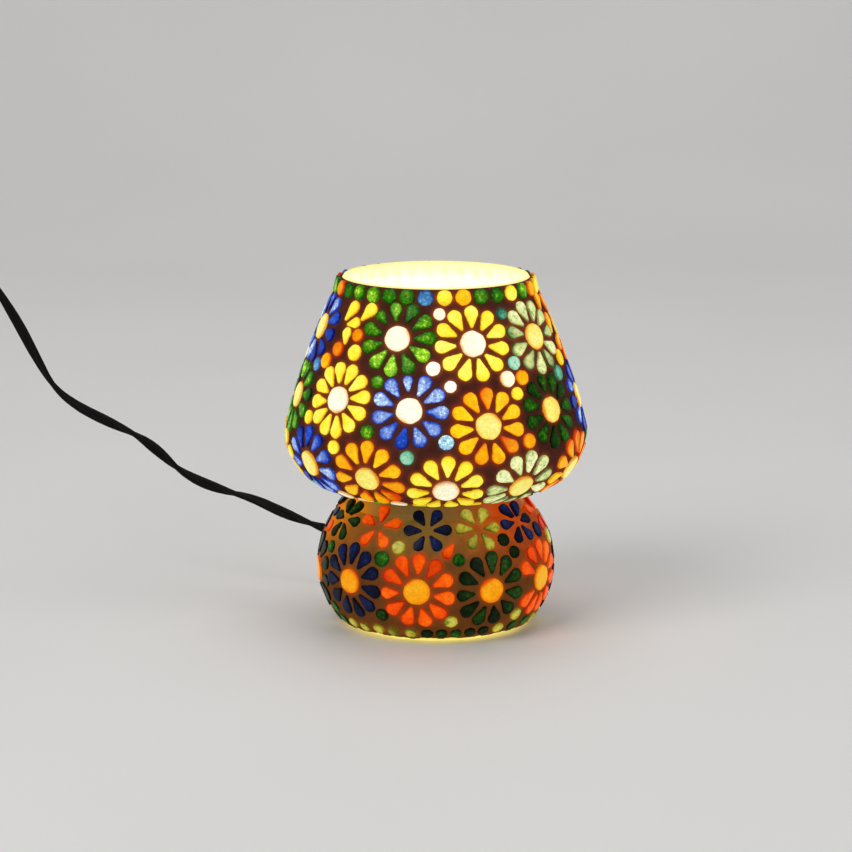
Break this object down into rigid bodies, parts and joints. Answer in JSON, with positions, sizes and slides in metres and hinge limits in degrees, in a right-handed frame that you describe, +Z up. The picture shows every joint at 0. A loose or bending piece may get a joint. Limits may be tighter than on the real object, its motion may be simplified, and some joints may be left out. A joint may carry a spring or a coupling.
{
  "type": "mosaic glass table lamp",
  "caption": "Small table lamp: one blown glass body, a domed shade over a rounded bowl, covered with coloured glass mosaic flowers in grout, with bulb, holder, twin flex and plug.",
  "frame": {"origin": "centre of the flat base, where the lamp stands", "axes": "+Z up through the shade's mouth, front towards -Y, the flex leaves at the back left (-X, +Y)"},
  "size_m": [0.3334, 0.1839, 0.255],
  "materials": {
    "black_bakelite": "moulded, satin",
    "blown_glass": "blown",
    "bowl_grout": "matte brown grout",
    "brass": "plain",
    "bulb_envelope": "blown",
    "bulb_metal": "rolled cap",
    "chip_amber": "hand cut, slightly domed",
    "chip_blue": "hand cut, slightly domed",
    "chip_cream": "hand cut, slightly domed",
    "chip_dark_green": "hand cut, slightly domed",
    "chip_green": "hand cut, slightly domed",
    "chip_mint": "hand cut, slightly domed",
    "chip_navy": "hand cut, slightly domed",
    "chip_orange": "hand cut, slightly domed",
    "chip_red_orange": "hand cut, slightly domed",
    "chip_yellow": "hand cut, slightly domed",
    "core_insulation": "brown PVC",
    "dome_grout": "matte dark brown grout",
    "plug_plastic": "moulded black, fine texture",
    "porcelain": "white insulator",
    "pvc_black": "flexible black sheath",
    "rubber_black": "soft black rubber",
    "steel": "zinc plated",
    "stem_glass": "blown",
    "tungsten": "drawn wire"
  },
  "bodies": {
    "lamp": {"bowl_discs_amber": "chip_amber", "bowl_dots_dark_green": "chip_dark_green", "bowl_dots_green": "chip_green", "bowl_dots_mint": "chip_mint", "bowl_dots_navy": "chip_navy", "bowl_dots_red_orange": "chip_red_orange", "bowl_grout": "bowl_grout", "bowl_petals_dark_green": "chip_dark_green", "bowl_petals_mint": "chip_mint", "bowl_petals_navy": "chip_navy", "bowl_petals_red_orange": "chip_red_orange", "cable_grommet": "rubber_black", "centre_contact": "brass", "cord_grip": "black_bakelite", "core_wires": "core_insulation", "dome_discs_cream": "chip_cream", "dome_discs_yellow": "chip_yellow", "dome_dots_blue": "chip_blue", "dome_dots_cream": "chip_cream", "dome_dots_green": "chip_green", "dome_dots_mint": "chip_mint", "dome_dots_orange": "chip_orange", "dome_dots_yellow": "chip_yellow", "dome_grout": "dome_grout", "dome_petals_blue": "chip_blue", "dome_petals_dark_green": "chip_dark_green", "dome_petals_green": "chip_green", "dome_petals_mint": "chip_mint", "dome_petals_orange": "chip_orange", "dome_petals_yellow": "chip_yellow", "flex": "pvc_black", "glass_body": "blown_glass", "holder_cap": "black_bakelite", "holder_core": "porcelain", "holder_plate": "steel", "holder_skirt": "black_bakelite", "inner_flex": "pvc_black", "plug_body": "plug_plastic", "plug_boot": "plug_plastic", "plug_pins": "brass", "shade_rings": "black_bakelite", "terminal_screws": "brass", "thread_sleeve": "brass"},
    "bulb": {"bulb_cap": "bulb_metal", "bulb_filament": "tungsten", "bulb_glass": "bulb_envelope", "bulb_insulator": "black_bakelite", "bulb_stem": "stem_glass", "bulb_support_wires": "tungsten", "bulb_tip_contact": "brass"}
  },
  "joints": [
    {"name": "bulb_lift", "type": "slide", "parent": "lamp", "child": "bulb", "axis": [0, 0, 1], "range_m": [0, 0.12]}
  ]
}
